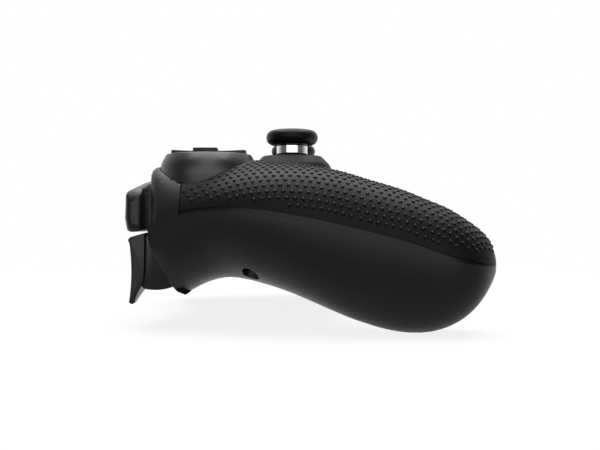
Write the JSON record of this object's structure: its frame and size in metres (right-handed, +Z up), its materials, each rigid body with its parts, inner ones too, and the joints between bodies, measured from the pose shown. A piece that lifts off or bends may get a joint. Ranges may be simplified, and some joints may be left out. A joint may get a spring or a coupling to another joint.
{
  "type": "gamepad controller",
  "caption": "Black two-handed gamepad with side-by-side thumbsticks, a four-way pad, face buttons, bumpers, sprung triggers and dotted rubber grip panels.",
  "frame": {"origin": "centre of the pad's box in plan, level with the lowest point of the grips", "axes": "+X to the player's right, +Y away from the player towards bumpers and triggers, +Z up out of the face"},
  "size_m": [0.158, 0.1091, 0.0635],
  "materials": {
    "shell_plastic": "fine matte texture, black",
    "grip_rubber": "matte black rubber with raised dots",
    "key_plastic": "satin black",
    "cap_rubber": "soft black with a slight sheen",
    "stick_plastic": "black acetal",
    "collar_chrome": "bright plated",
    "steel": "plain steel",
    "inner_plastic": "moulded dark grey",
    "board": "green solder mask",
    "battery_wrap": "blue-grey film",
    "silicone": "translucent grey silicone",
    "light_pipe": "clear white"
  },
  "bodies": {
    "housing": {"upper_shell": "shell_plastic", "lower_shell": "shell_plastic", "grip_panel_left": "grip_rubber", "grip_panel_right": "grip_rubber", "dpad_bezel": "shell_plastic", "button_bezel": "shell_plastic", "stick_ring_left": "shell_plastic", "stick_ring_right": "shell_plastic", "housing_screws": "steel", "main_board": "board", "battery_pack": "battery_wrap", "stick_module_left": "inner_plastic", "stick_module_right": "inner_plastic", "dpad_seat": "inner_plastic", "dpad_membrane": "silicone", "button_membrane": "silicone", "centre_switches": "inner_plastic", "status_light": "light_pipe", "bumper_switches": "inner_plastic", "trigger_pin_left": "steel", "trigger_pin_right": "steel", "trigger_spring_left": "steel", "trigger_spring_right": "steel", "trigger_bracket_left": "inner_plastic", "trigger_bracket_right": "inner_plastic", "rumble_motor_left": "steel", "rumble_motor_right": "steel", "usb_port": "steel", "headset_jack": "inner_plastic"},
    "stick_left_rocker": {"stick_rocker_left": "stick_plastic"},
    "stick_left_gimbal": {"stick_gimbal_left": "stick_plastic"},
    "stick_left": {"stick_shaft_left": "stick_plastic", "stick_collar_left": "collar_chrome", "stick_cap_left": "cap_rubber"},
    "stick_right_rocker": {"stick_rocker_right": "stick_plastic"},
    "stick_right_gimbal": {"stick_gimbal_right": "stick_plastic"},
    "stick_right": {"stick_shaft_right": "stick_plastic", "stick_collar_right": "collar_chrome", "stick_cap_right": "cap_rubber"},
    "dpad_spider": {"dpad_pivot": "steel"},
    "dpad": {"dpad_cross": "key_plastic"},
    "button_up": {"face_button_up": "key_plastic"},
    "button_right": {"face_button_right": "key_plastic"},
    "button_down": {"face_button_down": "key_plastic"},
    "button_left": {"face_button_left": "key_plastic"},
    "menu_left_key": {"menu_button_left": "key_plastic"},
    "menu_right_key": {"menu_button_right": "key_plastic"},
    "home_key": {"home_button": "key_plastic"},
    "left_bumper": {"bumper_left": "shell_plastic"},
    "left_trigger": {"trigger_left": "shell_plastic"},
    "left_weight": {"rumble_weight_left": "steel"},
    "right_bumper": {"bumper_right": "shell_plastic"},
    "right_trigger": {"trigger_right": "shell_plastic"},
    "right_weight": {"rumble_weight_right": "steel"}
  },
  "joints": [
    {"name": "stick_left_forward_back", "type": "hinge", "parent": "housing", "child": "stick_left_rocker", "pos_m": [-0.026, 0.0047, 0.0465], "axis": [1, 0, 0], "range_deg": [-12, 12], "stiffness_Nm_per_rad": 0.1},
    {"name": "stick_left_side_to_side", "type": "hinge", "parent": "stick_left_rocker", "child": "stick_left_gimbal", "pos_m": [-0.026, 0.0047, 0.0465], "axis": [0, 1, 0], "range_deg": [-12, 12], "stiffness_Nm_per_rad": 0.1},
    {"name": "stick_left_click", "type": "slide", "parent": "stick_left_gimbal", "child": "stick_left", "axis": [0, 0, -1], "range_m": [0, 0.0005], "stiffness_N_per_m": 3000, "springref_m": -0.0004},
    {"name": "stick_right_forward_back", "type": "hinge", "parent": "housing", "child": "stick_right_rocker", "pos_m": [0.026, 0.0047, 0.0465], "axis": [1, 0, 0], "range_deg": [-12, 12], "stiffness_Nm_per_rad": 0.1},
    {"name": "stick_right_side_to_side", "type": "hinge", "parent": "stick_right_rocker", "child": "stick_right_gimbal", "pos_m": [0.026, 0.0047, 0.0465], "axis": [0, 1, 0], "range_deg": [-12, 12], "stiffness_Nm_per_rad": 0.1},
    {"name": "stick_right_click", "type": "slide", "parent": "stick_right_gimbal", "child": "stick_right", "axis": [0, 0, -1], "range_m": [0, 0.0005], "stiffness_N_per_m": 3000, "springref_m": -0.0004},
    {"name": "dpad_left_right", "type": "hinge", "parent": "housing", "child": "dpad_spider", "pos_m": [-0.046, 0.0303, 0.0444], "axis": [0, 1, 0], "range_deg": [-4, 4], "stiffness_Nm_per_rad": 0.25},
    {"name": "dpad_up_down", "type": "hinge", "parent": "dpad_spider", "child": "dpad", "pos_m": [-0.046, 0.0303, 0.0444], "axis": [1, 0, 0], "range_deg": [-4, 4], "stiffness_Nm_per_rad": 0.25},
    {"name": "button_up_press", "type": "slide", "parent": "housing", "child": "button_up", "axis": [0, 0, -1], "range_m": [0, 0.0014], "stiffness_N_per_m": 700, "springref_m": -0.0006},
    {"name": "button_right_press", "type": "slide", "parent": "housing", "child": "button_right", "axis": [0, 0, -1], "range_m": [0, 0.0014], "stiffness_N_per_m": 700, "springref_m": -0.0006},
    {"name": "button_down_press", "type": "slide", "parent": "housing", "child": "button_down", "axis": [0, 0, -1], "range_m": [0, 0.0014], "stiffness_N_per_m": 700, "springref_m": -0.0006},
    {"name": "button_left_press", "type": "slide", "parent": "housing", "child": "button_left", "axis": [0, 0, -1], "range_m": [0, 0.0014], "stiffness_N_per_m": 700, "springref_m": -0.0006},
    {"name": "menu_left_press", "type": "slide", "parent": "housing", "child": "menu_left_key", "axis": [0, 0, -1], "range_m": [0, 0.0006], "stiffness_N_per_m": 1500, "springref_m": -0.0004},
    {"name": "menu_right_press", "type": "slide", "parent": "housing", "child": "menu_right_key", "axis": [0, 0, -1], "range_m": [0, 0.0006], "stiffness_N_per_m": 1500, "springref_m": -0.0004},
    {"name": "home_press", "type": "slide", "parent": "housing", "child": "home_key", "axis": [0, 0, -1], "range_m": [0, 0.0006], "stiffness_N_per_m": 1500, "springref_m": -0.0004},
    {"name": "bumper_left_press", "type": "slide", "parent": "housing", "child": "left_bumper", "axis": [0, -1, 0], "range_m": [0, 0.0013], "stiffness_N_per_m": 1000, "springref_m": -0.0008},
    {"name": "trigger_left_pull", "type": "hinge", "parent": "housing", "child": "left_trigger", "pos_m": [-0.041, 0.0456, 0.027], "axis": [-1, 0, 0], "range_deg": [0, 17], "stiffness_Nm_per_rad": 0.15, "springref_deg": -11.46, "deforming": ["trigger_spring_left"]},
    {"name": "rumble_left_spin", "type": "hinge", "parent": "housing", "child": "left_weight", "pos_m": [-0.0605, -0.0268, 0.02], "axis": [1, 0, 0], "continuous": true},
    {"name": "bumper_right_press", "type": "slide", "parent": "housing", "child": "right_bumper", "axis": [0, -1, 0], "range_m": [0, 0.0013], "stiffness_N_per_m": 1000, "springref_m": -0.0008},
    {"name": "trigger_right_pull", "type": "hinge", "parent": "housing", "child": "right_trigger", "pos_m": [0.041, 0.0456, 0.027], "axis": [-1, 0, 0], "range_deg": [0, 17], "stiffness_Nm_per_rad": 0.15, "springref_deg": -11.46, "deforming": ["trigger_spring_right"]},
    {"name": "rumble_right_spin", "type": "hinge", "parent": "housing", "child": "right_weight", "pos_m": [0.0605, -0.0268, 0.02], "axis": [1, 0, 0], "continuous": true}
  ]
}
